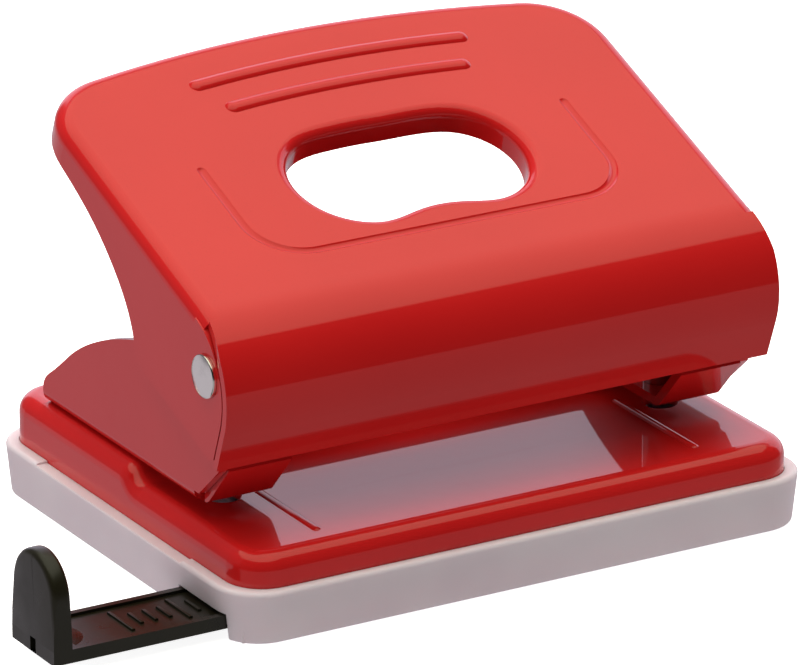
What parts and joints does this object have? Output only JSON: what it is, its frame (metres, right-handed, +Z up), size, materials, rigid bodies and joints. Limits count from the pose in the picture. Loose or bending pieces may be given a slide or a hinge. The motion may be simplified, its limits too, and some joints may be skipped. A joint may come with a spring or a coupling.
{
  "type": "two-hole punch",
  "caption": "Desk hole punch: pressed steel lever on a stepped base plate, sprung punch pins, a clip-on chip tray and a sliding paper guide.",
  "frame": {"origin": "on the table, under the middle of the chip tray", "axes": "+X along the row of punched holes, to the right seen from the paper side; -Y is the paper side; +Z up"},
  "size_m": [0.1336, 0.0822, 0.0707],
  "materials": {
    "tray_plastic": "frosted",
    "red_paint": "gloss lacquer",
    "zinc_steel": "zinc plated",
    "nickel": "nickel plated",
    "tool_steel": "ground",
    "spring_steel": "drawn wire",
    "black_plastic": "satin"
  },
  "bodies": {
    "tray": {"chip_tray": "tray_plastic"},
    "base": {"base_plate": "red_paint", "bracket": "red_paint", "bracket_rivets": "red_paint", "guide_bridge": "zinc_steel", "pivot_rivet_left": "nickel", "pivot_rivet_right": "nickel", "pivot_washer_left": "zinc_steel", "pivot_washer_right": "zinc_steel", "return_spring_left": "spring_steel", "return_spring_right": "spring_steel"},
    "lever": {"lever": "red_paint", "pressure_bar": "zinc_steel"},
    "punch_left": {"punch_pin_left": "tool_steel", "retaining_clip_left": "spring_steel", "spring_washer_left": "zinc_steel"},
    "punch_right": {"punch_pin_right": "tool_steel", "retaining_clip_right": "spring_steel", "spring_washer_right": "zinc_steel"},
    "guide": {"paper_guide": "black_plastic"}
  },
  "joints": [
    {"name": "base_lift", "type": "slide", "parent": "tray", "child": "base", "axis": [0, 0, 1], "range_m": [0, 0.03]},
    {"name": "lever_hinge", "type": "hinge", "parent": "base", "child": "lever", "pos_m": [0, -0.0267, 0.0402], "axis": [-1, 0, 0], "range_deg": [0, 24], "stiffness_Nm_per_rad": 0.5, "springref_deg": -14.32},
    {"name": "left_pin_slide", "type": "slide", "parent": "base", "child": "punch_left", "axis": [0, 0, -1], "range_m": [0, 0.0054], "deforming": ["return_spring_left"]},
    {"name": "right_pin_slide", "type": "slide", "parent": "base", "child": "punch_right", "axis": [0, 0, -1], "range_m": [0, 0.0054], "deforming": ["return_spring_right"]},
    {"name": "guide_slide", "type": "slide", "parent": "tray", "child": "guide", "axis": [-1, 0, 0], "range_m": [-0.0249, 0.045]}
  ],
  "couplings": [
    {"joint": "left_pin_slide", "follows": "lever_hinge", "m_per_rad": 0.01289},
    {"joint": "right_pin_slide", "follows": "lever_hinge", "m_per_rad": 0.01289}
  ]
}
